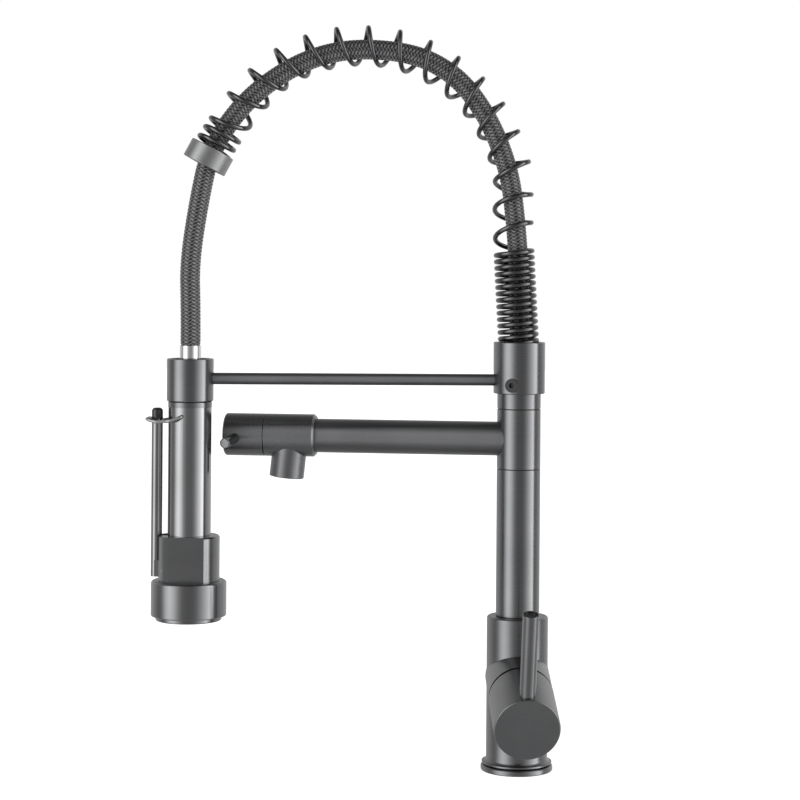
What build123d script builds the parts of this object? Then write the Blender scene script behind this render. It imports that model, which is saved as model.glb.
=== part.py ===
from build123d import *
import os
from math import asin, cos, degrees, pi, radians, sin, sqrt, tan

# Pull-down kitchen mixer tap with a spring arch and a second, swivelling pot-filler spout.
# Millimetres. +Z is up, and the origin is the centre of the base where it meets the worktop.
# The sprayer hangs in the plane y = 0, on the -X side, and the handle faces -Y.

# ---- base and valve body ----
BASE_R = 25.1
BASE_H = 4.0
BASE_BORE_R = 18.0
GASKET_IN_R, GASKET_OUT_R, GASKET_H = 19.6, 23.0, 1.4
BODY_R = 21.4
BODY_BOTTOM = 4.4
SPIGOT_R, SPIGOT_BOTTOM = 17.9, 0.6
BODY_TOP = 107.4
FLARE_R = 24.4
SOCKET_R = 13.15
SOCKET_FLOOR = 84.0
COLUMN_SEAL_Z = (89.0, 94.0)
INLET_R, INLET_X = 4.5, 9.5
STUD_R, STUD_Y = 3.4, 13.0
STUD_TOP = 22.4
RETAINER_R, RETAINER_Z = 2.5, 99.0

# ---- cartridge housing (boss) and handle: lengths along the boss axis ----
BOSS_Z = 65.8
BOSS_TILT = 18.0
BOSS_R = 22.3
BOSS_LEN = 30.0
CHAMBER_R, CHAMBER_FLOOR = 17.7, 2.0
PIVOT_L = 20.0
HUB_R, HUB_WALL = 22.5, 2.6
HUB_GAP = 2.2
HUB_END = 76.0
RELIEF_ANGLE = 21.0
LEVER_R = 5.5
LEVER_L = 68.5
LEVER_REACH = 59.5

# ---- column ----
COLUMN_R = 15.25
CORE_R, CORE_BORE_R = 10.0, 7.0
COLUMN_TOP = 209.9
SLIP_H, SLIP_R = 0.8, 14.7
TEE_BOTTOM, TEE_TOP = 210.75, 251.75
NECK_BOTTOM = 252.6
COLLAR_R, COLLAR_BOTTOM, COLLAR_TOP = 18.0, 262.8, 298.8
SEAT_R, SEAT_Z = 14.9, 287.0
ROD_R, ROD_Z = 4.1, 272.2
SCREW_Z, SCREW_ANGLE, SCREW_HEAD_R = 269.1, 21.7, 4.8

# ---- sprayer dock and handset ----
REACH = 229.5
HANDSET_TURN = -5.6
DOCK_R, DOCK_BOTTOM, DOCK_TOP = 16.2, 256.5, 286.0
LINER_R, LINER_BORE_R = 13.0, 10.5
NUT_R = 10.2
FERRULE_R, FERRULE_TOP = 7.3, 295.0
NUT_TOP = 284.0
GRIP_R, GRIP_BORE_R = 15.0, 12.2
GRIP_TOP, BLOCK_TOP, BLOCK_BOTTOM = 252.3, 163.3, 132.0
BLOCK_R, BLOCK_FLAT = 21.3, 17.1
SHELL_R, SHELL_BOTTOM = 26.2, 107.6
BEZEL_R, BEZEL_BOTTOM = 22.9, 104.5
TRIGGER_X, TRIGGER_R, TRIGGER_TOP = 22.8, 3.9, 251.7
PIN_X, PIN_Z, PIN_R = 16.5, 140.0, 1.5
PLUNGER_Z, PLUNGER_R = 156.0, 3.0
LOCK_X, LOCK_Z, LOCK_WIRE_R = 3.6, 246.5, 1.2
LOCK_LEN, LOCK_HALF, LOCK_DROOP = 25.4, 16.5, 15.0

# ---- pot filler: lengths along the arm from the column axis ----
ARM_Z, ARM_TURN = 231.0, 9.5
ARM_R, ARM_WALL = 11.9, 1.6
HEAD_START, HEAD_END, HEAD_R = 143.5, 179.6, 15.0
CAP_START, CAP_END = 180.0, 208.5
OUTLET_L, OUTLET_R, OUTLET_DROP, OUTLET_LEAN = 161.5, 12.2, 29.8, 6.0
KNOB_L, KNOB_R, KNOB_REACH, KNOB_LEAN = 197.0, 3.6, 34.0, 10.0

# ---- hose and spring: centre lines in the plane y = 0, as (x, z) points ----
HOSE_R = 7.0
HOSE_ROUTE = [
    (0.0, 284.0), (0.0, 340.0), (-3.6, 388.0), (-8.6, 421.0), (-23.5, 457.0), (-46.0, 486.0),
    (-80.4, 502.2), (-136.6, 502.2), (-185.4, 474.6), (-216.5, 433.6), (-224.8, 393.0),
    (-230.6, 352.0), (-229.5, 321.0), (-229.5, FERRULE_TOP),
]
SPRING_ROUTE = [
    (0.0, 288.8), (-4.4, 360.0), (-5.4, 392.0), (-4.9, 425.0), (-31.4, 474.3), (-79.8, 504.2),
    (-137.5, 505.4), (-188.6, 477.3), (-216.8, 428.6),
]
WIRE_R = 1.7
COIL_R = 12.8
POINTS_PER_TURN = 8
CLOSE_STEPS, CLOSE_LEN = 131, 73.5
OPEN_TURNS = 16
END_TURNS, END_PITCH = 3, 7.0
BUNCHING = 0.9
END_RING_R, END_RING_H = 16.0, 13.3
END_RING_X, END_RING_Z, END_RING_TILT = -218.0, 426.2, 28.0


def cyl(radius, low, high, x=0.0, y=0.0):
    """A cylinder along Z from low to high."""
    return Pos(x, y, (low + high) / 2) * Cylinder(radius, high - low)


def tube(outer, inner, low, high, x=0.0, y=0.0):
    """A pipe along Z from low to high."""
    return cyl(outer, low, high, x, y) - cyl(inner, low - 1, high + 1, x, y)


def o_ring(major, minor, z):
    """A rubber ring lying flat at height z."""
    return Pos(0, 0, z) * Torus(major, minor)


def soften(shape, picked, radius):
    """Round the picked edges of a shape."""
    return fillet(picked, radius) if len(picked) else shape


def circle_edges(shape, radius, z):
    """The circular edges of a given radius at height z."""
    found = shape.edges().filter_by(GeomType.CIRCLE)
    return ShapeList(
        e for e in found if abs(e.radius - radius) < 0.02 and abs(e.center().Z - z) < 0.02
    )


def smooth_path(points):
    """Straight runs joined by tangent arcs as large as the two runs of each corner allow."""
    radii = []
    for before, at, after in zip(points, points[1:], points[2:]):
        first, second = Vector(*at) - Vector(*before), Vector(*after) - Vector(*at)
        half_turn = radians(first.get_angle(second)) / 2
        radii.append(0.45 * min(first.length, second.length) / tan(half_turn))
    return FilletPolyline(*points, radius=radii), radii


def swept(path, radius):
    """A round bar or wire along a path."""
    start = Plane(origin=path @ 0, z_dir=path % 0)
    return sweep(start * Circle(radius), path=path)


# The boss frame: local Z runs out along the boss, and local Y is up.
BOSS = Plane(
    origin=(0, 0, BOSS_Z),
    x_dir=(1, 0, 0),
    z_dir=(0, -cos(radians(BOSS_TILT)), -sin(radians(BOSS_TILT))),
)
# The screw at the back of the body that holds the column in its socket.
RETAINER = Plane(origin=(0, 0, RETAINER_Z), z_dir=(0, 1, 0))
# The arm frame: local Z runs out along the pot-filler arm, local X is up.
ARM = Plane(
    origin=(0, 0, ARM_Z),
    x_dir=(0, 0, 1),
    z_dir=(-cos(radians(ARM_TURN)), sin(radians(ARM_TURN)), 0),
)
# The handset frame: the trigger is on local -X, and the flats of the block face local Y.
HANDSET = Location((-REACH, 0, 0), (0, 0, HANDSET_TURN))

nodes = {}


# ---- base ----
def base_ring():
    ring = tube(BASE_R, BASE_BORE_R, 0, BASE_H)
    ring = soften(ring, circle_edges(ring, BASE_R, BASE_H), 1.4)
    ring = soften(ring, circle_edges(ring, BASE_R, 0), 0.7)
    return ring - tube(GASKET_OUT_R, GASKET_IN_R, -1, GASKET_H)


def valve_body():
    flare_z = BODY_BOTTOM + 1.8
    curve_z = flare_z + 3.0
    with BuildPart() as turned:
        with BuildSketch(Plane.XZ):
            with BuildLine():
                Polyline((0, BODY_BOTTOM), (FLARE_R - 0.8, BODY_BOTTOM))
                Line((FLARE_R - 0.8, BODY_BOTTOM), (FLARE_R, BODY_BOTTOM + 0.8))
                Line((FLARE_R, BODY_BOTTOM + 0.8), (FLARE_R, flare_z))
                CenterArc((FLARE_R, curve_z), 3.0, 180, 90)
                Line((BODY_R, curve_z), (BODY_R, BODY_TOP))
                Line((BODY_R, BODY_TOP), (0, BODY_TOP))
                Line((0, BODY_TOP), (0, BODY_BOTTOM))
            make_face()
        revolve(axis=Axis.Z)
    body = turned.part
    body = soften(body, circle_edges(body, BODY_R, BODY_TOP), 1.6)
    body += cyl(SPIGOT_R, SPIGOT_BOTTOM, BODY_BOTTOM)
    body += BOSS * cyl(BOSS_R, 0, BOSS_LEN)
    body -= cyl(SOCKET_R, SOCKET_FLOOR, BODY_TOP + 1)
    body -= BOSS * cyl(CHAMBER_R, CHAMBER_FLOOR, BOSS_LEN + 1)
    body -= cyl(5.0, 55, SOCKET_FLOOR + 1)
    for side in (-1, 1):
        body -= cyl(INLET_R, 0, 24, x=side * INLET_X)
        body -= cyl(3.2, 20, 56, x=side * INLET_X)
        body -= cyl(STUD_R, 0, STUD_TOP, y=side * STUD_Y)
    return body - RETAINER * cyl(RETAINER_R + 0.05, 0, BODY_R + 1)


nodes["base_ring"] = base_ring()
nodes["deck_gasket"] = tube(GASKET_OUT_R, GASKET_IN_R, 0, GASKET_H)
nodes["valve_body"] = valve_body()
nodes["column_retaining_screw"] = RETAINER * (
    cyl(RETAINER_R, SOCKET_R + 0.1, BODY_R - 0.6) - Pos(0, 0, BODY_R - 1.6) * extrude(
        RegularPolygon(1.4, 6), 2
    )
)


# ---- cartridge ----
def cartridge_case():
    case = cyl(17.4, CHAMBER_FLOOR + 1.2, 23.4) + cyl(13.8, 23.4, 29.0)
    case -= cyl(12.9, 6.2, 26.0)
    case -= cyl(11.0, 25.0, 30.0)
    for angle in (90, 210, 330):
        spot = Rot(0, 0, angle) * Pos(8.0, 0, 0)
        case -= spot * cyl(2.6, 0, 8)
    return BOSS * case


def port_seals():
    seals = [Rot(0, 0, a) * tube(3.7, 2.7, CHAMBER_FLOOR + 0.1, CHAMBER_FLOOR + 1.1, x=8.0) for a in (90, 210, 330)]
    return BOSS * Compound(children=seals)


nodes["cartridge_case"] = cartridge_case()
nodes["cartridge_port_seals"] = port_seals()
nodes["fixed_ceramic_disc"] = BOSS * (
    cyl(12.8, 6.3, 9.4) - Pos(0, 6, 0) * cyl(2.6, 6, 10) - Pos(-5, -4, 0) * cyl(2.2, 6, 10)
    - Pos(5, -4, 0) * cyl(2.2, 6, 10)
)
nodes["cartridge_nut"] = BOSS * (
    tube(17.6, 14.0, 23.6, 29.6)
    - Compound(children=[Rot(0, 0, a) * Pos(16.8, 0, 29.4) * Box(3, 3, 3) for a in range(0, 360, 60)])
)
nodes["moving_ceramic_disc"] = BOSS * (cyl(10.6, 9.5, 12.4) - Pos(0, 1, 0) * cyl(4.0, 9, 13))


def cartridge_rotor():
    rotor = cyl(12.7, 12.5, 24.8) + cyl(10.8, 24.8, 28.6)
    slot = Pos(0, 0, 21.5) * Box(8.6, 19.0, 18.2)
    pin_hole = Plane(origin=(0, 0, PIVOT_L), z_dir=(1, 0, 0)) * cyl(1.5, -11.0, 11.0)
    return BOSS * (rotor - slot - pin_hole)


nodes["cartridge_rotor"] = cartridge_rotor()
nodes["stem_pivot_pin"] = BOSS * (
    Plane(origin=(0, 0, PIVOT_L), z_dir=(1, 0, 0)) * cyl(1.5, -11.0, 11.0)
)


# ---- handle ----
def handle_stem():
    stem = Pos(0, 0, (14.5 + 56) / 2) * Box(7.6, 7.6, 56 - 14.5)
    hole = Plane(origin=(0, 0, PIVOT_L), z_dir=(1, 0, 0)) * cyl(1.55, -6, 6)
    return BOSS * (stem - hole)


def handle_hub():
    rear = BOSS_LEN + HUB_GAP
    hub = cyl(HUB_R, rear, HUB_END)
    hub = soften(hub, circle_edges(hub, HUB_R, HUB_END), 1.0)
    hub = soften(hub, circle_edges(hub, HUB_R, rear), 0.5)
    hub -= cyl(HUB_R - HUB_WALL, rear - 1, 50.0)
    hub -= Pos(0, 0, 52.5) * Box(7.7, 7.7, 9.0)
    # The lower rear of the hub is cut back, so that it clears the boss when the lever is lifted.
    relief = Pos(0, 0, rear) * Rot(-RELIEF_ANGLE, 0, 0) * Pos(0, -30, -20) * Box(80, 60, 40)
    hub -= relief
    lever_socket = Plane(origin=(0, 0, LEVER_L), z_dir=(0, 1, 0)) * cyl(LEVER_R, 12.0, 30.0)
    screw_hole = Plane(origin=(0, 0, 53.0), z_dir=(0, -1, 0)) * cyl(2.05, 3.0, 30.0)
    return BOSS * (hub - lever_socket - screw_hole)


def handle_lever():
    top = HUB_R + LEVER_REACH
    bar = cyl(LEVER_R, 12.0, top)
    bar = soften(bar, circle_edges(bar, LEVER_R, top), 0.5)
    bar -= cyl(LEVER_R - 1.0, top - 12.0, top + 1)
    return BOSS * (Plane(origin=(0, 0, LEVER_L), z_dir=(0, 1, 0)) * bar)


def lever_plug():
    top = HUB_R + LEVER_REACH
    plug = cyl(LEVER_R - 1.0, top - 5.0, top - 1.2)
    return BOSS * (Plane(origin=(0, 0, LEVER_L), z_dir=(0, 1, 0)) * plug)


def hub_screw():
    screw = cyl(2.0, 3.9, 14.0) - Pos(0, 0, 12.5) * extrude(RegularPolygon(1.2, 6), 3)
    return BOSS * (Plane(origin=(0, 0, 53.0), z_dir=(0, -1, 0)) * screw)


nodes["handle_stem"] = handle_stem()
nodes["handle_hub"] = handle_hub()
nodes["handle_lever"] = handle_lever()
nodes["lever_tip_plug"] = lever_plug()
nodes["hub_set_screw"] = hub_screw()


# ---- column ----
def column_core():
    core = cyl(CORE_R, SOCKET_FLOOR + 1, 274.0) + cyl(SOCKET_R - 0.05, SOCKET_FLOOR + 1, BODY_TOP)
    core -= cyl(CORE_BORE_R, SOCKET_FLOOR, 275)
    for z in COLUMN_SEAL_Z:
        core -= tube(SOCKET_R + 1, 11.4, z - 1.0, z + 1.0)
    for z in (216.0, 246.0):
        core -= tube(CORE_R + 1, 8.6, z - 0.8, z + 0.8)
    core -= tube(SOCKET_R + 1, 12.2, 97.4, 100.6)
    port = Plane(origin=(0, 0, ARM_Z), z_dir=(1, 0, 0)) * cyl(4.0, -CORE_R - 1, CORE_R + 1)
    return core - port


def collar():
    ring = cyl(COLLAR_R, COLLAR_BOTTOM, COLLAR_TOP)
    ring = soften(ring, circle_edges(ring, COLLAR_R, COLLAR_TOP), 0.8)
    ring = soften(ring, circle_edges(ring, COLLAR_R, COLLAR_BOTTOM), 0.8)
    ring -= cyl(CORE_R, COLLAR_BOTTOM - 1, SEAT_Z + 1)
    ring -= cyl(SEAT_R, SEAT_Z, COLLAR_TOP + 1)
    ring -= Plane(origin=(0, 0, ROD_Z), z_dir=(-1, 0, 0)) * cyl(ROD_R, 13.0, 20.0)
    return ring - COLLAR_SCREW * cyl(3.5, CORE_R - 1, COLLAR_R + 1)


COLLAR_SCREW = Plane(
    origin=(0, 0, SCREW_Z),
    z_dir=(-sin(radians(SCREW_ANGLE)), -cos(radians(SCREW_ANGLE)), 0),
)
nodes["column_tube"] = tube(COLUMN_R, CORE_R, BODY_TOP + 0.4, COLUMN_TOP)
nodes["column_core"] = column_core()
nodes["column_seals"] = Compound(children=[o_ring(12.25, 0.83, z) for z in COLUMN_SEAL_Z])
nodes["tee_seals"] = Compound(children=[o_ring(9.3, 0.68, z) for z in (216.0, 246.0)])
nodes["lower_slip_ring"] = tube(SLIP_R, CORE_R, COLUMN_TOP, COLUMN_TOP + SLIP_H)
nodes["upper_slip_ring"] = tube(SLIP_R, CORE_R, NECK_BOTTOM - SLIP_H, NECK_BOTTOM)
nodes["column_neck"] = tube(COLUMN_R, CORE_R, NECK_BOTTOM, COLLAR_BOTTOM)
nodes["dock_collar"] = collar()
collar_screw = cyl(3.5, CORE_R + 0.1, COLLAR_R + 0.2) + cyl(SCREW_HEAD_R, COLLAR_R + 0.2, COLLAR_R + 1.2)
collar_screw = soften(collar_screw, circle_edges(collar_screw, SCREW_HEAD_R, COLLAR_R + 1.2), 0.4)
nodes["collar_set_screw"] = COLLAR_SCREW * (
    collar_screw - Pos(0, 0, COLLAR_R - 1.5) * extrude(RegularPolygon(2.0, 6), 4)
)
hose_tail = cyl(CORE_R - 0.1, 274.0, 281.0) + cyl(HOSE_R + 1.0, 281.0, 284.0)
nodes["hose_tail_nut"] = hose_tail - cyl(4.5, 273, 285)

rod_end = REACH - 14.2
nodes["support_rod"] = Plane(origin=(0, 0, ROD_Z), z_dir=(-1, 0, 0)) * cyl(ROD_R, 13.0, rod_end)


def dock_ring():
    ring = cyl(DOCK_R, DOCK_BOTTOM, DOCK_TOP, x=-REACH)
    ring = soften(ring, circle_edges(ring, DOCK_R, DOCK_TOP), 0.8)
    ring = soften(ring, circle_edges(ring, DOCK_R, DOCK_BOTTOM), 0.8)
    ring -= cyl(LINER_R, DOCK_BOTTOM - 1, DOCK_TOP + 1, x=-REACH)
    return ring - nodes["support_rod"]


nodes["dock_ring"] = dock_ring()
nodes["dock_liner"] = tube(LINER_R, LINER_BORE_R, DOCK_BOTTOM + 0.3, DOCK_TOP - 0.3, x=-REACH)


# ---- hose, spring and the ring at the spring's end ----
def hose():
    path, radii = smooth_path([(x, 0, z) for x, z in HOSE_ROUTE])
    solid = swept(path, HOSE_R)
    print("hose length %.1f, section x length %.0f, volume %.0f, radii %s" % (
        path.length, pi * HOSE_R**2 * path.length, solid.volume, [round(r) for r in radii]))
    return solid


def spring_places(length):
    """Distance along the centre line for each point of the coil: close turns, open turns, close turns."""
    places = [CLOSE_LEN * step / CLOSE_STEPS for step in range(CLOSE_STEPS)]
    pitch = (length - CLOSE_LEN - END_TURNS * END_PITCH) / OPEN_TURNS
    for step in range(OPEN_TURNS * POINTS_PER_TURN):
        turns = step / POINTS_PER_TURN
        # An open turn moves on slowly round its outer half, and quickly across its inner half.
        slowed = turns - BUNCHING * sin(2 * pi * turns) / (2 * pi)
        places.append(CLOSE_LEN + pitch * slowed)
    for step in range(END_TURNS * POINTS_PER_TURN + 1):
        places.append(CLOSE_LEN + pitch * OPEN_TURNS + END_PITCH * step / POINTS_PER_TURN)
    return places


def arch_spring():
    centre, _ = smooth_path([(x, 0, z) for x, z in SPRING_ROUTE])
    points = []
    for index, place in enumerate(spring_places(centre.length)):
        at = centre.position_at(min(place / centre.length, 1.0))
        along = centre.tangent_at(min(place / centre.length, 1.0))
        outward = Vector(along.Z, 0, -along.X)
        turn = 2 * pi * (index - CLOSE_STEPS) / POINTS_PER_TURN
        # A right-handed coil: seen from its start it turns from outward, through the back, inward.
        radius = COIL_R / cos(pi / POINTS_PER_TURN) ** 0.5
        points.append(at + outward * (radius * cos(turn)) + Vector(0, 1, 0) * (radius * sin(turn)))
    path, _ = smooth_path([tuple(p) for p in points])
    return swept(path, WIRE_R)


END_RING = Location((END_RING_X, 0, END_RING_Z), (0, END_RING_TILT, 0))


def end_ring():
    ring = cyl(END_RING_R, -END_RING_H / 2, END_RING_H / 2)
    ring = soften(ring, circle_edges(ring, END_RING_R, END_RING_H / 2), 0.6)
    ring = soften(ring, circle_edges(ring, END_RING_R, -END_RING_H / 2), 0.6)
    ring -= cyl(COIL_R + WIRE_R + 0.5, -2.0, END_RING_H)
    return END_RING * (ring - cyl(11.6, -END_RING_H, END_RING_H))


nodes["hose"] = hose()
nodes["arch_spring"] = arch_spring()
nodes["spring_end_ring"] = end_ring()
nodes["hose_guide_bush"] = END_RING * tube(11.6, 9.7, -END_RING_H / 2 + 0.4, -2.2)


# ---- pot filler ----
def tee_sleeve():
    sleeve = tube(COLUMN_R, CORE_R + 0.05, TEE_BOTTOM, TEE_TOP)
    return sleeve - ARM * cyl(6.5, 0, COLUMN_R + 1)


def arm_tube():
    arm = ARM * (cyl(ARM_R, 0, HEAD_START) - cyl(ARM_R - ARM_WALL, -1, HEAD_START + 1))
    return arm - cyl(COLUMN_R, 200, 260)


OUTLET = ARM * Plane(
    origin=(0, 0, OUTLET_L),
    x_dir=(0, 1, 0),
    z_dir=(-cos(radians(OUTLET_LEAN)), 0, sin(radians(OUTLET_LEAN))),
).location


def outlet_head():
    head = cyl(HEAD_R, HEAD_START + 2.2, HEAD_END)
    head = soften(head, circle_edges(head, HEAD_R, HEAD_END), 0.4)
    nozzle = cyl(OUTLET_R, 0, OUTLET_DROP)
    nozzle = soften(nozzle, circle_edges(nozzle, OUTLET_R, OUTLET_DROP), 0.6)
    solid = ARM * head + OUTLET * nozzle
    solid -= ARM * cyl(10.6, HEAD_START, HEAD_END + 1)
    solid -= OUTLET * cyl(8.0, 0, OUTLET_DROP + 1)
    return solid - OUTLET * cyl(10.6, OUTLET_DROP - 10, OUTLET_DROP + 1)


def head_ring():
    ring = cyl(HEAD_R, HEAD_START, HEAD_START + 2.2)
    ring = chamfer(circle_edges(ring, HEAD_R, HEAD_START), 1.4)
    return ARM * (ring - cyl(ARM_R - ARM_WALL, 0, 300))


def aerator_insert():
    cells = [
        Pos(x * 2.9 + (y % 2) * 1.45, y * 2.5, 0) * cyl(1.0, OUTLET_DROP - 4, OUTLET_DROP)
        for x in range(-3, 4) for y in range(-3, 4)
        if (x * 2.9 + (y % 2) * 1.45) ** 2 + (y * 2.5) ** 2 < 64
    ]
    return OUTLET * (cyl(9.6, OUTLET_DROP - 3.0, OUTLET_DROP - 1.2) - Compound(children=cells))


nodes["tee_sleeve"] = tee_sleeve()
nodes["pot_filler_arm"] = arm_tube()
nodes["pot_filler_head"] = outlet_head()
nodes["head_ring"] = head_ring()
nodes["aerator_housing"] = OUTLET * tube(10.5, 9.6, OUTLET_DROP - 9.0, OUTLET_DROP - 0.5)
nodes["aerator_screen"] = aerator_insert()
nodes["aerator_washer"] = OUTLET * tube(10.4, 8.2, OUTLET_DROP - 9.9, OUTLET_DROP - 9.1)
nodes["quarter_turn_valve"] = ARM * (tube(10.5, 4.1, 172.0, HEAD_END) - cyl(8.0, 171, 175))


def knob_cap():
    cap = cyl(HEAD_R, CAP_START, CAP_END)
    cap = soften(cap, circle_edges(cap, HEAD_R, CAP_END), 1.6)
    cap = soften(cap, circle_edges(cap, HEAD_R, CAP_START), 0.4)
    cap -= cyl(12.0, CAP_START - 1, CAP_START + 6.0)
    return ARM * (cap - cyl(4.0, CAP_START, CAP_START + 12.0)) - KNOB * cyl(KNOB_R, 7.0, 20.0)


KNOB = ARM * Plane(
    origin=(0, 0, KNOB_L),
    x_dir=(1, 0, 0),
    z_dir=(-0.12, -cos(radians(KNOB_LEAN)), sin(radians(KNOB_LEAN))),
).location


def knob_lever():
    bar = cyl(KNOB_R, 7.0, KNOB_REACH)
    return KNOB * soften(bar, circle_edges(bar, KNOB_R, KNOB_REACH), 0.7)


nodes["knob_cap"] = knob_cap()
nodes["knob_lever"] = knob_lever()
nodes["knob_spindle"] = ARM * cyl(4.0, 175.5, CAP_START + 12.0)

# ---- hose end ----
nodes["hose_ferrule"] = cyl(FERRULE_R, NUT_TOP, FERRULE_TOP, x=-REACH)


def hose_end_nut():
    nut = cyl(NUT_R, 238.0, NUT_TOP, x=-REACH)
    nut = chamfer(circle_edges(nut, NUT_R, NUT_TOP), 1.2)
    return nut - cyl(4.5, 237, NUT_TOP - 3, x=-REACH)


nodes["hose_end_nut"] = hose_end_nut()


# ---- handset ----
def grip():
    grip_tube = tube(GRIP_R, GRIP_BORE_R, BLOCK_TOP, GRIP_TOP)
    pins = Plane(origin=(-LOCK_X, 0, LOCK_Z), z_dir=(0, 1, 0)) * cyl(LOCK_WIRE_R + 0.06, -20, 20)
    return HANDSET * (grip_tube - pins)


def grip_head():
    head = cyl(GRIP_R + 0.2, GRIP_TOP, DOCK_BOTTOM - 0.3) + cyl(GRIP_BORE_R, GRIP_TOP - 4, GRIP_TOP)
    head = soften(head, circle_edges(head, GRIP_R + 0.2, DOCK_BOTTOM - 0.3), 0.5)
    return HANDSET * (head - cyl(NUT_R + 0.05, 240, 260))


def valve_block():
    block = cyl(BLOCK_R, BLOCK_BOTTOM, BLOCK_TOP)
    block = chamfer(circle_edges(block, BLOCK_R, BLOCK_TOP), 1.0)
    middle = (BLOCK_TOP + BLOCK_BOTTOM) / 2
    block &= Pos(0, 0, middle) * Box(60, 2 * BLOCK_FLAT, BLOCK_TOP - BLOCK_BOTTOM + 2)
    block -= Pos(-22.4, 0, middle) * Box(20.0, 8.4, BLOCK_TOP - BLOCK_BOTTOM + 2)
    block -= Plane(origin=(-PIN_X, 0, PIN_Z), z_dir=(0, 1, 0)) * cyl(PIN_R, -13, 13)
    block -= Plane(origin=(0, 0, PLUNGER_Z), z_dir=(-1, 0, 0)) * cyl(PLUNGER_R + 0.06, -4.0, 13)
    return HANDSET * (block - cyl(5.5, BLOCK_BOTTOM - 1, 148) - cyl(5.5, 160, BLOCK_TOP + 1))


def spray_shell():
    shell = cyl(SHELL_R, SHELL_BOTTOM, BLOCK_BOTTOM)
    shell = soften(shell, circle_edges(shell, SHELL_R, BLOCK_BOTTOM), 1.8)
    shell = soften(shell, circle_edges(shell, SHELL_R, SHELL_BOTTOM), 0.8)
    shell -= cyl(BEZEL_R + 0.1, SHELL_BOTTOM - 1, 126)
    return HANDSET * (shell - cyl(5.5, 100, BLOCK_BOTTOM + 1))


def spray_plate():
    plate = cyl(19.0, 106.2, 110.0)
    jets = []
    for ring_r, count in ((16.5, 24), (13.2, 18), (9.9, 12)):
        for k in range(count):
            spot = Rot(0, 0, 360 * k / count) * Pos(ring_r, 0, 0)
            plate += spot * Pos(0, 0, 105.7) * Cone(0.6, 1.0, 1.0)
            jets.append(spot * cyl(0.35, 104, 111))
    plate -= cyl(6.2, 105, 111)
    return HANDSET * (plate - Compound(children=jets))


def stream_outlet():
    disc = cyl(6.2, 105.4, 110.0)
    holes = [
        Rot(0, 0, 60 * k) * Pos(3.4, 0, 0) * cyl(0.9, 104, 111) for k in range(6)
    ] + [cyl(0.9, 104, 111)]
    return HANDSET * (disc - Compound(children=holes))


nodes["grip_tube"] = grip()
nodes["grip_head"] = grip_head()
nodes["valve_block"] = valve_block()
nodes["spray_shell"] = spray_shell()
bezel = tube(BEZEL_R, 19.0, BEZEL_BOTTOM, 112.0)
nodes["spray_bezel"] = HANDSET * soften(bezel, circle_edges(bezel, BEZEL_R, BEZEL_BOTTOM), 0.8)
nodes["spray_plate"] = spray_plate()
nodes["stream_outlet"] = stream_outlet()
nodes["flow_diffuser"] = HANDSET * (tube(22.9, 5.5, 112.0, 114.0))
nodes["trigger_pin"] = HANDSET * (
    Plane(origin=(-PIN_X, 0, PIN_Z), z_dir=(0, 1, 0)) * cyl(PIN_R, -12.6, 12.6)
)


# ---- trigger, plunger and lock ring ----
def trigger():
    bar = cyl(TRIGGER_R, 134.5, TRIGGER_TOP - 8.0, x=-TRIGGER_X)
    foot = Pos(-18.6, 0, 140.4) * Box(10.4, 2 * TRIGGER_R, 11.0)
    hole = Plane(origin=(-PIN_X, 0, PIN_Z), z_dir=(0, 1, 0)) * cyl(PIN_R + 0.06, -6, 6)
    return HANDSET * (bar + foot - hole)


def trigger_tip():
    tip = cyl(TRIGGER_R, TRIGGER_TOP - 8.0, TRIGGER_TOP, x=-TRIGGER_X)
    return HANDSET * fillet(circle_edges(tip, TRIGGER_R, TRIGGER_TOP), 2.4)


def plunger():
    face = TRIGGER_X - TRIGGER_R - 0.15
    rod = cyl(PLUNGER_R, 1.0, face)
    rod = soften(rod, circle_edges(rod, PLUNGER_R, face), 1.2)
    return HANDSET * (Plane(origin=(0, 0, PLUNGER_Z), z_dir=(-1, 0, 0)) * rod)


def lock_ring():
    half, length = LOCK_HALF, LOCK_LEN
    side = [(0, 11.0), (0, half), (9.5, half), (19.0, 9.0), (length, 6.6)]
    points = [(-p, -q, 0) for p, q in side] + [(-p, q, 0) for p, q in reversed(side)]
    path = FilletPolyline(*points, radius=[1.8, 7.0, 8.0, 4.0, 4.0, 8.0, 7.0, 1.8])
    wire = swept(path, LOCK_WIRE_R)
    return HANDSET * Pos(-LOCK_X, 0, LOCK_Z) * Rot(0, -LOCK_DROOP, 0) * wire


nodes["trigger_lever"] = trigger()
nodes["trigger_tip_cap"] = trigger_tip()
nodes["valve_plunger"] = plunger()
nodes["lock_ring"] = lock_ring()

os.makedirs("parts", exist_ok=True)
for name, shape in nodes.items():
    export_step(shape, f"parts/{name}.step")
print(len(nodes), "nodes")
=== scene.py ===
import bpy
import numpy as np
from math import cos, pi, radians, sin
from mathutils import Matrix, Vector


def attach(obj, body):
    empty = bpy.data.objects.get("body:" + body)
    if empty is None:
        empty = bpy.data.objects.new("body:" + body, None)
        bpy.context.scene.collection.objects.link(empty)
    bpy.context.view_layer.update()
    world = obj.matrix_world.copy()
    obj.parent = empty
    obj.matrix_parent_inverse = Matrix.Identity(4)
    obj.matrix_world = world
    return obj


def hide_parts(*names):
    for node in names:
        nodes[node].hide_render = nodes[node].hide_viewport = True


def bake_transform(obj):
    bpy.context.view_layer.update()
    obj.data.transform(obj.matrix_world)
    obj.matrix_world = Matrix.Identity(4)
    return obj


# Looks of a pull-down kitchen mixer tap, in metres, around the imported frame.
# +Z is up the column, the sprayer hangs on the -X side and the lever handle is on the -Y side.

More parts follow.
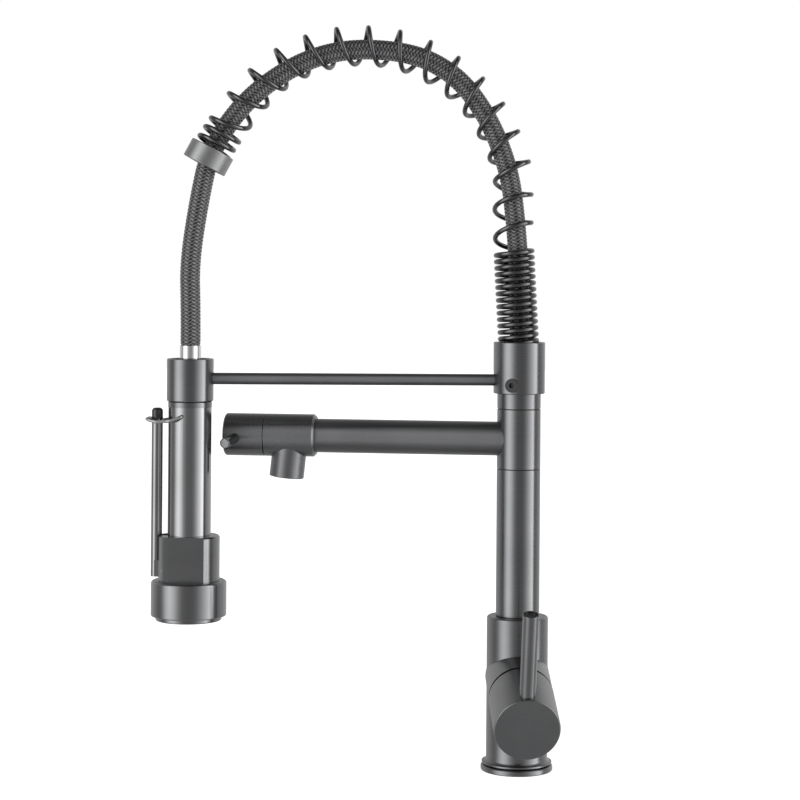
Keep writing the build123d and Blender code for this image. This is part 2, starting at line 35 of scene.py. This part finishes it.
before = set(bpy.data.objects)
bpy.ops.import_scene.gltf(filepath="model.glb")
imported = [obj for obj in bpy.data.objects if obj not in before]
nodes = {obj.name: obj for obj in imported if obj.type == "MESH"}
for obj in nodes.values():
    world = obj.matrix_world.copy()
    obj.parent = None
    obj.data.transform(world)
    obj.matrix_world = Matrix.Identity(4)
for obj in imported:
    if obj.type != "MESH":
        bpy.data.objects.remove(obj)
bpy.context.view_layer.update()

# ---- driving sizes, as in the CAD source ----
HOSE_R = 0.0070
HOSE_ROUTE = [
    (0.0, 0.2840), (0.0, 0.3400), (-0.0036, 0.3880), (-0.0086, 0.4210), (-0.0235, 0.4570),
    (-0.0460, 0.4860), (-0.0804, 0.5022), (-0.1366, 0.5022), (-0.1854, 0.4746), (-0.2165, 0.4336),
    (-0.2248, 0.3930), (-0.2306, 0.3520), (-0.2295, 0.3210), (-0.2295, 0.2950),
]
SPRING_ROUTE = [
    (0.0, 0.2888), (-0.0044, 0.3600), (-0.0054, 0.3920), (-0.0049, 0.4250), (-0.0314, 0.4743),
    (-0.0798, 0.5042), (-0.1375, 0.5054), (-0.1886, 0.4773), (-0.2168, 0.4286),
]
WIRE_R = 0.0017
COIL_R = 0.0128
CLOSE_TURNS, CLOSE_LEN = 131 / 8, 0.0735
OPEN_TURNS = 16
END_TURNS, END_PITCH = 3, 0.0070
BUNCHING = 0.9
LOCK_X, LOCK_Z, LOCK_WIRE_R, LOCK_DROOP = 0.0036, 0.2465, 0.0012, 15.0
LOCK_SAG, LOCK_CURL, LOCK_CURL_START = 0.0008, 30.0, 0.0135
REACH = 0.2295
HANDSET_TURN = -5.6
BOSS_TILT = 18.0
ARM_TURN = 9.5


# ---- small helpers for materials ----
class Shader:
    """A node material under construction, with one method for each kind of node it needs."""

    def __init__(self, name, color, metallic=0.0, roughness=0.5):
        self.material = bpy.data.materials.new(name)
        self.material.use_nodes = True
        self.tree = self.material.node_tree
        self.bsdf = self.tree.nodes["Principled BSDF"]
        self.bsdf.inputs["Base Color"].default_value = (*color, 1.0)
        self.bsdf.inputs["Metallic"].default_value = metallic
        self.bsdf.inputs["Roughness"].default_value = roughness

    def node(self, kind, **values):
        made = self.tree.nodes.new(kind)
        for key, value in values.items():
            setattr(made, key, value)
        return made

    def link(self, source, target):
        self.tree.links.new(source, target)

    def coordinates(self):
        return self.node("ShaderNodeTexCoord").outputs["Object"]

    def scaled(self, vector, scale):
        mapping = self.node("ShaderNodeMapping")
        mapping.inputs["Scale"].default_value = scale
        self.link(vector, mapping.inputs["Vector"])
        return mapping.outputs["Vector"]

    def noise(self, vector, scale, detail=3.0, rough=0.5):
        made = self.node("ShaderNodeTexNoise")
        made.inputs["Scale"].default_value = scale
        made.inputs["Detail"].default_value = detail
        made.inputs["Roughness"].default_value = rough
        self.link(vector, made.inputs["Vector"])
        return made.outputs["Fac"]

    def spread(self, value, low, high, from_low=0.0, from_high=1.0):
        made = self.node("ShaderNodeMapRange")
        made.inputs["From Min"].default_value = from_low
        made.inputs["From Max"].default_value = from_high
        made.inputs["To Min"].default_value = low
        made.inputs["To Max"].default_value = high
        self.link(value, made.inputs["Value"])
        return made.outputs["Result"]

    def blend_colors(self, factor, first, second):
        made = self.node("ShaderNodeMix", data_type="RGBA")
        self.link(factor, made.inputs["Factor"])
        for socket, value in ((made.inputs[6], first), (made.inputs[7], second)):
            if isinstance(value, bpy.types.NodeSocket):
                self.link(value, socket)
            else:
                socket.default_value = (*value, 1.0)
        return made.outputs[2]

    def bump(self, height, strength, distance):
        made = self.node("ShaderNodeBump")
        made.inputs["Strength"].default_value = strength
        made.inputs["Distance"].default_value = distance
        self.link(height, made.inputs["Height"])
        self.link(made.outputs["Normal"], self.bsdf.inputs["Normal"])

    def turned(self, axis, amount):
        """Fine tool marks round an axis: the highlight stretches along that axis."""
        self.bsdf.inputs["Anisotropic"].default_value = amount
        along = self.node("ShaderNodeCombineXYZ")
        for socket, value in zip(along.inputs, axis):
            socket.default_value = value
        world = self.node("ShaderNodeVectorTransform", vector_type="VECTOR",
                          convert_from="OBJECT", convert_to="WORLD")
        self.link(along.outputs["Vector"], world.inputs["Vector"])
        self.link(world.outputs["Vector"], self.bsdf.inputs["Tangent"])


UP = (0.0, 0.0, 1.0)
ALONG_X = (1.0, 0.0, 0.0)
ALONG_BOSS = (0.0, -cos(radians(BOSS_TILT)), -sin(radians(BOSS_TILT)))
ALONG_ARM = (-cos(radians(ARM_TURN)), sin(radians(ARM_TURN)), 0.0)
ALONG_LEVER = (0.0, -sin(radians(BOSS_TILT)), cos(radians(BOSS_TILT)))


def plated_metal(name, color, roughness, axis=UP, turned=0.5, grain=0.10):
    """Gunmetal plating over turned metal: satin, with a very fine grain and faint cloudiness."""
    made = Shader(name, color, metallic=1.0, roughness=roughness)
    place = made.coordinates()
    cloud = made.noise(place, 28.0, 4.0)
    fine = made.noise(place, 2600.0, 2.0)
    dark = tuple(c * 0.93 for c in color)
    light = tuple(min(1.0, c * 1.07) for c in color)
    made.link(made.blend_colors(made.spread(cloud, 0.0, 1.0, 0.3, 0.7), dark, light),
              made.bsdf.inputs["Base Color"])
    marks = made.noise(made.scaled(place, [5.0 if abs(a) < 0.5 else 3200.0 for a in axis]), 1.0, 2.0)
    both = made.node("ShaderNodeMath", operation="ADD")
    made.link(made.spread(fine, -0.35 * roughness, 0.35 * roughness), both.inputs[0])
    made.link(made.spread(marks, 0.75 * roughness, 1.25 * roughness), both.inputs[1])
    made.link(both.outputs[0], made.bsdf.inputs["Roughness"])
    made.bump(fine, grain, 0.00004)
    made.turned(axis, turned)
    return made.material


def plain_metal(name, color, roughness, wear=0.15):
    made = Shader(name, color, metallic=1.0, roughness=roughness)
    place = made.coordinates()
    streaks = made.noise(place, 420.0, 5.0, 0.65)
    made.link(made.spread(streaks, roughness * (1 - wear), roughness * (1 + 2 * wear)),
              made.bsdf.inputs["Roughness"])
    worn = made.blend_colors(streaks, tuple(c * 0.88 for c in color), color)
    made.link(worn, made.bsdf.inputs["Base Color"])
    made.bump(streaks, 0.08, 0.00003)
    return made.material


def moulded(name, color, roughness, texture=0.25, scale=1800.0, coat=0.0):
    """Moulded plastic or rubber with a fine spark-eroded grain."""
    made = Shader(name, color, roughness=roughness)
    made.bsdf.inputs["Coat Weight"].default_value = coat
    place = made.coordinates()
    grain = made.noise(place, scale, 3.0)
    cloud = made.noise(place, 60.0, 3.0)
    made.link(made.blend_colors(cloud, tuple(c * 0.8 for c in color), tuple(min(1, c * 1.2) for c in color)),
              made.bsdf.inputs["Base Color"])
    made.link(made.spread(grain, roughness * 0.85, min(1.0, roughness * 1.2)), made.bsdf.inputs["Roughness"])
    made.bump(grain, texture, 0.00005)
    return made.material


def ceramic(name):
    made = Shader(name, (0.83, 0.82, 0.79), roughness=0.22)
    made.link(made.spread(made.noise(made.coordinates(), 900.0), 0.15, 0.3), made.bsdf.inputs["Roughness"])
    return made.material


def braid(name):
    """Braided nylon hose, black. The attribute is painted light: a painted highlight on the crown of each
    thread, brighter on the thread that lies on top, and black painted shade between threads.
    """
    made = Shader(name, (0.02, 0.02, 0.022), roughness=0.36)
    braid_painted_light = made.node("ShaderNodeAttribute", attribute_name="braid_painted_light").outputs["Fac"]
    fuzz = made.noise(made.coordinates(), 5200.0, 2.0)
    painted_light_level = made.node("ShaderNodeMath", operation="MULTIPLY")
    made.link(braid_painted_light, painted_light_level.inputs[0])
    made.link(made.spread(fuzz, 0.6, 1.3), painted_light_level.inputs[1])
    # Base colour runs from near-black painted shade between threads to a grey painted highlight on the
    # crowns.
    made.link(made.blend_colors(painted_light_level.outputs[0], (0.002, 0.002, 0.003), (0.30, 0.30, 0.31)),
              made.bsdf.inputs["Base Color"])
    made.link(made.spread(fuzz, 0.22, 0.42), made.bsdf.inputs["Roughness"])
    made.bsdf.inputs["Sheen Weight"].default_value = 0.03
    made.bump(fuzz, 0.25, 0.00005)
    return made.material


GUNMETAL = (0.205, 0.207, 0.212)


def metals():
    """The plated metals, one for each direction its parts were turned in."""
    made = {
        "upright": plated_metal("gunmetal_upright", GUNMETAL, 0.24, turned=0.6, grain=0.05),
        "body": plated_metal("gunmetal_body", GUNMETAL, 0.30, turned=0.4, grain=0.08),
        "boss": plated_metal("gunmetal_boss", GUNMETAL, 0.30, ALONG_BOSS, 0.4, 0.08),
        "arm": plated_metal("gunmetal_arm", GUNMETAL, 0.42, ALONG_ARM, 0.95, 0.04),
        "head": plated_metal("gunmetal_head", GUNMETAL, 0.30, ALONG_ARM, 0.75, 0.04),
        "rod": plated_metal("gunmetal_rod", GUNMETAL, 0.42, ALONG_X, 0.95, 0.03),
        "lever": plated_metal("gunmetal_lever", GUNMETAL, 0.24, ALONG_LEVER, 0.6, 0.05),
        "grip": plated_metal("gunmetal_grip", (0.29, 0.292, 0.297), 0.12, turned=0.5, grain=0.02),
        "block": plated_metal("gunmetal_block", (0.22, 0.222, 0.227), 0.22, turned=0.5, grain=0.05),
        "end_ring": plated_metal("satin_end_ring", (0.33, 0.332, 0.336), 0.42, turned=0.1, grain=0.12),
    }
    return made


def dress(material, names):
    """Gives CAD nodes a material."""
    for name in names:
        slots = nodes[name].data.materials
        slots.clear()
        slots.append(material)


metal = metals()
wire_metal = plated_metal("spring_wire", (0.12, 0.121, 0.125), 0.12, turned=0.0, grain=0.02)
brass = plain_metal("raw_brass", (0.72, 0.55, 0.28), 0.24)
steel = plain_metal("stainless", (0.56, 0.56, 0.57), 0.26)
lock_wire = plain_metal("lock_ring_wire", (0.42, 0.42, 0.43), 0.34, 0.4)
chrome = plain_metal("bright_chrome", (0.82, 0.82, 0.83), 0.09)
black_gloss = moulded("black_gloss_plastic", (0.012, 0.012, 0.013), 0.16, 0.05, coat=0.5)
black_plastic = moulded("black_plastic", (0.018, 0.018, 0.019), 0.38)
grey_plastic = moulded("grey_plastic", (0.11, 0.11, 0.115), 0.5)
white_plastic = moulded("white_plastic", (0.72, 0.71, 0.68), 0.42)
silicone = moulded("nozzle_silicone", (0.055, 0.056, 0.06), 0.6, 0.35)
rubber = moulded("black_rubber", (0.015, 0.015, 0.015), 0.7, 0.5)
hose_braid = braid("hose_braid")

dress(metal["upright"], ["column_tube", "column_neck", "dock_collar", "dock_ring", "tee_sleeve", "grip_head"])
dress(metal["body"], ["base_ring", "valve_body"])
dress(metal["boss"], ["handle_hub"])
dress(metal["arm"], ["pot_filler_arm"])
dress(metal["head"], ["pot_filler_head", "head_ring", "knob_cap"])
dress(metal["block"], ["knob_lever"])
dress(metal["rod"], ["support_rod"])
dress(metal["lever"], ["handle_lever"])
dress(metal["grip"], ["grip_tube", "trigger_lever"])
dress(metal["block"], ["valve_block", "spray_shell", "spray_bezel"])
dress(metal["end_ring"], ["spring_end_ring"])
dress(brass, ["cartridge_nut", "handle_stem", "column_core", "hose_tail_nut", "quarter_turn_valve",
              "knob_spindle", "hose_end_nut"])
dress(steel, ["column_retaining_screw", "stem_pivot_pin", "hub_set_screw", "trigger_pin", "valve_plunger"])
dress(lock_wire, ["lock_ring"])
dress(chrome, ["hose_ferrule"])
dress(black_gloss, ["trigger_tip_cap"])
dress(black_plastic, ["collar_set_screw", "lever_tip_plug", "lower_slip_ring", "upper_slip_ring",
                      "dock_liner", "hose_guide_bush", "aerator_housing"])
dress(grey_plastic, ["cartridge_rotor", "aerator_screen", "stream_outlet", "flow_diffuser"])
dress(white_plastic, ["cartridge_case"])
dress(silicone, ["spray_plate"])
dress(rubber, ["deck_gasket", "cartridge_port_seals", "column_seals", "tee_seals", "aerator_washer"])
dress(ceramic("ceramic"), ["fixed_ceramic_disc", "moving_ceramic_disc"])


# ---- lines that the hose and the spring follow ----
def spline_points(name, route):
    """The smooth line through a route, as points read from its NURBS spline."""
    curve = bpy.data.curves.new(name, "CURVE")
    curve.dimensions = "3D"
    curve.resolution_u = 48
    spline = curve.splines.new("NURBS")
    spline.points.add(len(route) - 1)
    for point, (x, z) in zip(spline.points, route):
        point.co = (x, 0.0, z, 1.0)
    spline.order_u = 3
    spline.use_endpoint_u = True
    holder = bpy.data.objects.new(name, curve)
    bpy.context.scene.collection.objects.link(holder)
    mesh = bpy.data.meshes.new_from_object(holder)
    points = np.array([v.co for v in mesh.vertices], float)
    bpy.data.objects.remove(holder)
    bpy.data.meshes.remove(mesh)
    bpy.data.curves.remove(curve)
    return points


class Line:
    """A line in the plane y = 0, looked up by the distance along it."""

    def __init__(self, points):
        self.points = points
        steps = np.linalg.norm(np.diff(points, axis=0), axis=1)
        self.marks = np.concatenate([[0.0], np.cumsum(steps)])
        self.length = float(self.marks[-1])
        runs = np.gradient(points, self.marks, axis=0)
        self.tangents = runs / np.linalg.norm(runs, axis=1)[:, None]

    def at(self, places):
        point = np.stack([np.interp(places, self.marks, self.points[:, i]) for i in range(3)], axis=1)
        along = np.stack([np.interp(places, self.marks, self.tangents[:, i]) for i in range(3)], axis=1)
        along /= np.linalg.norm(along, axis=1)[:, None]
        outward = np.stack([along[:, 2], np.zeros(len(along)), -along[:, 0]], axis=1)
        return point, along, outward


SIDEWAYS = np.array([0.0, 1.0, 0.0])


def skin(name, rings, material):
    """A tube mesh from an array of rings of points, with flat caps."""
    count, around = rings.shape[:2]
    verts = rings.reshape(-1, 3)
    faces = []
    for i in range(count - 1):
        for j in range(around):
            k = (j + 1) % around
            faces.append((i * around + j, i * around + k, (i + 1) * around + k, (i + 1) * around + j))
    faces.append(tuple(range(around - 1, -1, -1)))
    faces.append(tuple((count - 1) * around + j for j in range(around)))
    mesh = bpy.data.meshes.new(name)
    mesh.from_pydata([tuple(v) for v in verts], [], faces)
    mesh.materials.append(material)
    mesh.polygons.foreach_set("use_smooth", [len(f) == 4 for f in faces])
    mesh.update()
    made = bpy.data.objects.new(name, mesh)
    bpy.context.scene.collection.objects.link(made)
    return made


def wire(name, centre, reference, radius, sides, material):
    """Round wire along a line of points. The reference vectors keep its rings from twisting."""
    run = np.gradient(centre, axis=0)
    run /= np.linalg.norm(run, axis=1)[:, None]
    first = reference - (reference * run).sum(1)[:, None] * run
    first /= np.linalg.norm(first, axis=1)[:, None]
    second = np.cross(run, first)
    around = np.linspace(0.0, 2 * pi, sides, endpoint=False)
    rings = centre[:, None, :] + radius * (
        np.cos(around)[None, :, None] * first[:, None, :] + np.sin(around)[None, :, None] * second[:, None, :]
    )
    return skin(name, rings, material)


# ---- braided hose ----
def hose(line):
    """The braid: two families of threads wind opposite ways and take turns on top, column by column."""
    carriers, lay = 8, 0.0200
    ring_step, around = 0.0004, 72
    count = int(line.length / ring_step)
    places = np.linspace(0.0, line.length, count)
    point, along, outward = line.at(places)
    angle = np.linspace(0.0, 2 * pi, around, endpoint=False)
    s, a = np.meshgrid(places, angle, indexing="ij")
    first = carriers * (a / (2 * pi) + s / lay)
    second = carriers * (a / (2 * pi) - s / lay)
    over = (np.floor(first) + np.floor(second)) % 2 < 0.5
    first_dome = np.sin(pi * (first % 1.0)) ** 0.6
    second_dome = np.sin(pi * (second % 1.0)) ** 0.6
    dome = np.where(over, first_dome, second_dome)
    ends = np.clip(np.minimum(s, line.length - s) / 0.002, 0.0, 1.0)
    radius = HOSE_R - 0.00062 + 0.00060 * dome * ends
    rings = (
        point[:, None, :]
        + (radius * np.cos(a))[..., None] * outward[:, None, :]
        + (radius * np.sin(a))[..., None] * SIDEWAYS
    )
    made = skin("hose_braid", rings, hose_braid)
    # Painted light for the colour: a painted highlight on the crown of each thread, stronger where the thread
    # lies on top, and painted shade between threads.
    braid_painted_light = made.data.attributes.new("braid_painted_light", "FLOAT", "POINT")
    filaments = 0.5 + 0.5 * np.cos(2 * pi * 2 * np.where(over, first, second))
    crown_highlight = np.clip((dome - 0.55) / 0.45, 0.0, 1.0) ** 2
    painted_light_level = crown_highlight * (0.55 + 0.45 * over) * (0.7 + 0.3 * filaments)
    braid_painted_light.data.foreach_set("value", painted_light_level.astype(np.float32).ravel())
    return made


hose_line = Line(spline_points("hose_line", HOSE_ROUTE))
hose_piece = hose(hose_line)
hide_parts("hose")
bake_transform(hose_piece)


# ---- arch spring ----
def arch_spring(line):
    steps_per_turn, wire_sides = 32, 14
    pitch = (line.length - CLOSE_LEN - END_TURNS * END_PITCH) / OPEN_TURNS
    last = CLOSE_TURNS + OPEN_TURNS + END_TURNS
    turn = np.linspace(0.0, last, int(last * steps_per_turn) + 1)
    opened = np.clip(turn - CLOSE_TURNS, 0.0, OPEN_TURNS)
    # An open turn moves on slowly round its outer half, and quickly across its inner half.
    slowed = opened - BUNCHING * np.sin(2 * pi * opened) / (2 * pi)
    place = (
        np.minimum(turn, CLOSE_TURNS) * CLOSE_LEN / CLOSE_TURNS
        + slowed * pitch
        + np.maximum(turn - CLOSE_TURNS - OPEN_TURNS, 0.0) * END_PITCH
    )
    point, _, outward = line.at(place)
    angle = (2 * pi * (turn - CLOSE_TURNS))[:, None]
    centre = point + COIL_R * (np.cos(angle) * outward + np.sin(angle) * SIDEWAYS)
    return wire("arch_spring_wire", centre, centre - point, WIRE_R, wire_sides, wire_metal)


spring_piece = arch_spring(Line(spline_points("spring_line", SPRING_ROUTE)))
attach(spring_piece, "column")
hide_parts("arch_spring")


# ---- wire lock ring on the sprayer ----
def lock_ring():
    """The wire ring: it sags a little between its pins and the trigger, and its far end curls up."""
    side = [(0.0, 0.0110), (0.0, 0.0165), (0.0095, 0.0165), (0.0190, 0.0090), (0.0254, 0.0066)]
    corners = np.array(side + [(reach, -half) for reach, half in reversed(side)])
    marks = np.concatenate([[0.0], np.cumsum(np.linalg.norm(np.diff(corners, axis=0), axis=1))])
    spacing, softness = 0.0003, 10
    places = np.arange(0.0, marks[-1], spacing)
    flat = np.stack([np.interp(places, marks, corners[:, i]) for i in range(2)], axis=1)
    kernel = np.ones(softness) / softness
    for _ in range(2):
        for i in range(2):
            flat[softness:-softness, i] = np.convolve(flat[:, i], kernel, "same")[softness:-softness]
    reach, half = flat[:, 0], flat[:, 1]
    curl = LOCK_CURL * np.maximum(reach - LOCK_CURL_START, 0.0) ** 2
    sag = LOCK_SAG * np.sin(pi * np.minimum(reach / LOCK_CURL_START, 1.0))
    local = np.stack([-reach, -half, curl - sag], axis=1)
    place = (
        Matrix.Translation((-REACH, 0.0, 0.0))
        @ Matrix.Rotation(radians(HANDSET_TURN), 4, "Z")
        @ Matrix.Translation((-LOCK_X, 0.0, LOCK_Z))
        @ Matrix.Rotation(radians(-LOCK_DROOP), 4, "Y")
    )
    centre = np.array([place @ Vector(point) for point in local])
    upward = np.tile(np.array(place.to_3x3() @ Vector((0.0, 0.0, 1.0))), (len(centre), 1))
    return wire("lock_ring_wire", centre, upward, LOCK_WIRE_R, 16, lock_wire)


lock_piece = lock_ring()
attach(lock_piece, "lock_ring")
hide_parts("lock_ring")


# ---- floor, light and camera ----
def curve_ramp(stops, ramp):
    """Fills a colour ramp with (position, brightness) stops."""
    elements = ramp.elements
    while len(elements) > 1:
        elements.remove(elements[-1])
    elements[0].position, elements[0].color = stops[0][0], (stops[0][1],) * 3 + (1.0,)
    for position, value in stops[1:]:
        elements.new(position).color = (value,) * 3 + (1.0,)


def studio_world():
    """Two tall soft boxes either side of a darker front, and plain white wherever the camera looks."""
    world = bpy.data.worlds.new("studio")
    world.use_nodes = True
    tree = world.node_tree
    nodes_, links = tree.nodes, tree.links
    background = nodes_["Background"]
    direction = nodes_.new("ShaderNodeTexCoord").outputs["Generated"]
    parts = nodes_.new("ShaderNodeSeparateXYZ")
    links.new(direction, parts.inputs[0])
    flipped = nodes_.new("ShaderNodeMath")
    flipped.operation = "MULTIPLY"
    flipped.inputs[1].default_value = -1.0
    links.new(parts.outputs["Y"], flipped.inputs[0])
    azimuth = nodes_.new("ShaderNodeMath")
    azimuth.operation = "ARCTAN2"
    links.new(parts.outputs["X"], azimuth.inputs[0])
    links.new(flipped.outputs[0], azimuth.inputs[1])
    around = nodes_.new("ShaderNodeMapRange")
    around.inputs["From Min"].default_value = -pi
    around.inputs["From Max"].default_value = pi
    links.new(azimuth.outputs[0], around.inputs["Value"])
    around_ramp = nodes_.new("ShaderNodeValToRGB")
    # The brightness round the horizon, in degrees, with 0 on the camera's side.
    boxes = [(-180, 0.30), (-150, 0.55), (-125, 0.55), (-100, 0.20), (-86, 0.35), (-72, 1.6),
             (-58, 2.3), (-44, 1.7), (-28, 0.6), (-16, 0.22), (0, 0.16), (16, 0.17), (28, 0.35),
             (42, 0.9), (60, 1.9), (74, 3.0), (81, 3.0), (84, 0.3), (97, 0.3), (122, 0.6),
             (150, 0.7), (180, 0.30)]
    peak = 3.0
    curve_ramp([((a + 180) / 360, v / peak) for a, v in boxes], around_ramp.color_ramp)
    links.new(around.outputs[0], around_ramp.inputs["Fac"])
    height = nodes_.new("ShaderNodeMapRange")
    height.inputs["From Min"].default_value = -1.0
    height.inputs["From Max"].default_value = 1.0
    links.new(parts.outputs["Z"], height.inputs["Value"])
    height_ramp = nodes_.new("ShaderNodeValToRGB")
    window = [(-1.0, 0.05), (-0.85, 0.06), (-0.6, 0.3), (-0.35, 0.85), (0.0, 1.0), (0.45, 1.0), (0.7, 0.45),
              (0.9, 0.10), (1.0, 0.08)]
    curve_ramp([((z + 1) / 2, v) for z, v in window], height_ramp.color_ramp)
    links.new(height.outputs[0], height_ramp.inputs["Fac"])
    product = nodes_.new("ShaderNodeMath")
    product.operation = "MULTIPLY"
    links.new(around_ramp.outputs["Color"], product.inputs[0])
    links.new(height_ramp.outputs["Color"], product.inputs[1])
    lit = nodes_.new("ShaderNodeMath")
    lit.operation = "MULTIPLY_ADD"
    lit.inputs[1].default_value = peak
    glow_ramp = nodes_.new("ShaderNodeValToRGB")
    glow = [(-1.0, 0.34), (-0.55, 0.38), (-0.2, 0.14), (1.0, 0.10)]
    curve_ramp([((z + 1) / 2, v) for z, v in glow], glow_ramp.color_ramp)
    links.new(height.outputs[0], glow_ramp.inputs["Fac"])
    links.new(glow_ramp.outputs["Color"], lit.inputs[2])
    links.new(product.outputs[0], lit.inputs[0])
    seen = nodes_.new("ShaderNodeLightPath").outputs["Is Camera Ray"]
    choose = nodes_.new("ShaderNodeMix")
    choose.inputs["B"].default_value = 1.0
    links.new(seen, choose.inputs["Factor"])
    links.new(lit.outputs[0], choose.inputs["A"])
    links.new(choose.outputs[0], background.inputs["Strength"])
    background.inputs["Color"].default_value = (1.0, 1.0, 1.0, 1.0)
    bpy.context.scene.world = world


def floor():
    """A pale floor that glows a little, and that the metal does not mirror."""
    bpy.ops.mesh.primitive_plane_add(size=12.0, location=(0.0, 0.0, 0.0))
    made = bpy.context.object
    made.name = "floor"
    material = Shader("floor", (0.8, 0.8, 0.8), roughness=0.9)
    material.bsdf.inputs["Emission Color"].default_value = (1.0, 1.0, 1.0, 1.0)
    material.bsdf.inputs["Emission Strength"].default_value = 0.85
    made.data.materials.append(material.material)
    made.visible_glossy = False


def camera():
    """A level, slightly rolled long lens. Distances are from the column's axis."""
    distance, height, aside = 1.505, 0.3486, 0.084
    turn, roll = radians(-2.5), radians(0.42)
    data = bpy.data.cameras.new("camera")
    data.sensor_width = 36.0
    data.lens = 96.75
    data.shift_y = -0.1625
    data.clip_end = 50.0
    made = bpy.data.objects.new("camera", data)
    bpy.context.scene.collection.objects.link(made)
    looking = Matrix.Rotation(turn, 4, "Z") @ Matrix.Translation((-aside, -distance, height))
    made.matrix_world = looking @ Matrix.Rotation(pi / 2, 4, "X") @ Matrix.Rotation(roll, 4, "Z")
    bpy.context.scene.camera = made


studio_world()
floor()
camera()
bpy.context.scene.view_settings.view_transform = "Standard"
